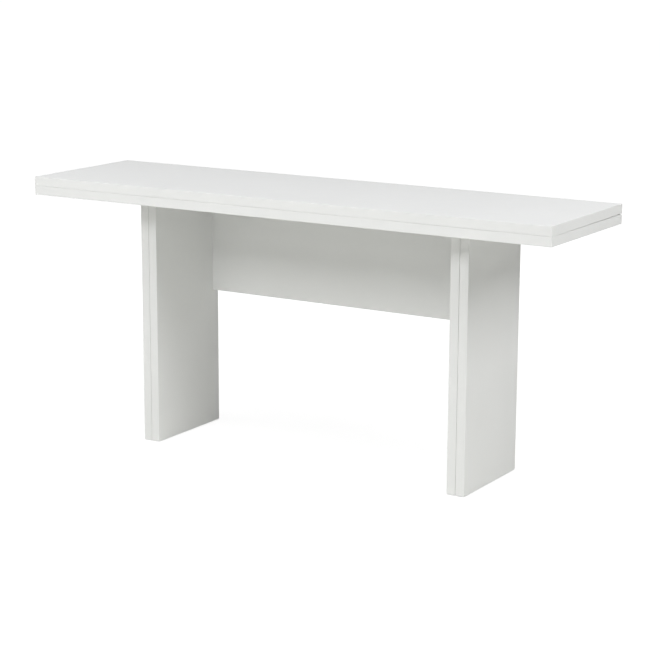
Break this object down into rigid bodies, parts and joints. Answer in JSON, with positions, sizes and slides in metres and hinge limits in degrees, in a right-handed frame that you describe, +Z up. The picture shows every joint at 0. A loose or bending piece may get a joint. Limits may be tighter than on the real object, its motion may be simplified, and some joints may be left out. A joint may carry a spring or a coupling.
{
  "type": "extending console table",
  "caption": "White console table whose hinged double top opens like a book to twice its depth, carried by leg boards that swing out behind.",
  "frame": {"origin": "on the floor, under the centre of the folded top", "axes": "+X along the table, to the right seen from the front; +Y to the back, where the hinges are; +Z up"},
  "size_m": [1.6, 0.4251, 0.7565],
  "materials": {
    "white_board": "satin white lacquer on wood fibreboard",
    "hinge_steel": "satin nickel-plated steel",
    "plated_screw": "bright zinc-plated steel",
    "zinc": "die-cast zinc, as cast",
    "nickel": "nickel plating",
    "beech": "bare beech",
    "white_plastic": "moulded white plastic",
    "grey_nylon": "light grey nylon",
    "clear_rubber": "clear soft polymer"
  },
  "bodies": {
    "base": {"fixed_leaf": "white_board", "apron": "white_board", "leaf_bumpers": "clear_rubber", "fixed_leaf_hinge_plates": "hinge_steel", "fixed_leaf_hinge_pins": "hinge_steel", "fixed_leaf_hinge_screws": "plated_screw", "leg_cams": "zinc", "leg_cam_bolts": "zinc", "leg_cam_caps": "white_plastic", "leg_dowels": "beech", "apron_end_cams": "zinc", "apron_end_cam_bolts": "zinc", "apron_end_cam_caps": "white_plastic", "apron_end_dowels": "beech", "apron_top_cams": "zinc", "apron_top_cam_bolts": "zinc", "apron_top_cam_caps": "white_plastic", "apron_top_dowels": "beech", "left_fixed_leg": "white_board", "left_fixed_leg_glides": "grey_nylon", "left_fixed_leg_magnet": "nickel", "left_fixed_leg_hinge_leaves": "hinge_steel", "left_fixed_leg_hinge_screws": "plated_screw", "left_leg_hinge_pins": "hinge_steel", "right_fixed_leg": "white_board", "right_fixed_leg_glides": "grey_nylon", "right_fixed_leg_magnet": "nickel", "right_fixed_leg_hinge_leaves": "hinge_steel", "right_fixed_leg_hinge_screws": "plated_screw", "right_leg_hinge_pins": "hinge_steel"},
    "leaf_links": {"leaf_hinge_links": "hinge_steel"},
    "folding_leaf": {"folding_leaf": "white_board", "folding_leaf_hinge_plates": "hinge_steel", "folding_leaf_hinge_pins": "hinge_steel", "folding_leaf_hinge_screws": "plated_screw"},
    "left_swing_leg": {"left_swing_leg": "white_board", "left_swing_leg_glides": "grey_nylon", "left_swing_leg_pads": "grey_nylon", "left_swing_leg_strike": "nickel", "left_swing_leg_hinge_leaves": "hinge_steel", "left_swing_leg_hinge_screws": "plated_screw"},
    "right_swing_leg": {"right_swing_leg": "white_board", "right_swing_leg_glides": "grey_nylon", "right_swing_leg_pads": "grey_nylon", "right_swing_leg_strike": "nickel", "right_swing_leg_hinge_leaves": "hinge_steel", "right_swing_leg_hinge_screws": "plated_screw"}
  },
  "joints": [
    {"name": "leaf_link_turn", "type": "hinge", "parent": "base", "child": "leaf_links", "pos_m": [0, 0.209, 0.726], "axis": [-1, 0, 0], "range_deg": [0, 90]},
    {"name": "leaf_fold", "type": "hinge", "parent": "leaf_links", "child": "folding_leaf", "pos_m": [0, 0.209, 0.734], "axis": [-1, 0, 0], "range_deg": [0, 90.23]},
    {"name": "left_leg_swing", "type": "hinge", "parent": "base", "child": "left_swing_leg", "pos_m": [-0.4916, 0.207, 0], "axis": [0, 0, -1], "range_deg": [0, 180]},
    {"name": "right_leg_swing", "type": "hinge", "parent": "base", "child": "right_swing_leg", "pos_m": [0.4916, 0.207, 0], "axis": [0, 0, 1], "range_deg": [0, 180]}
  ]
}
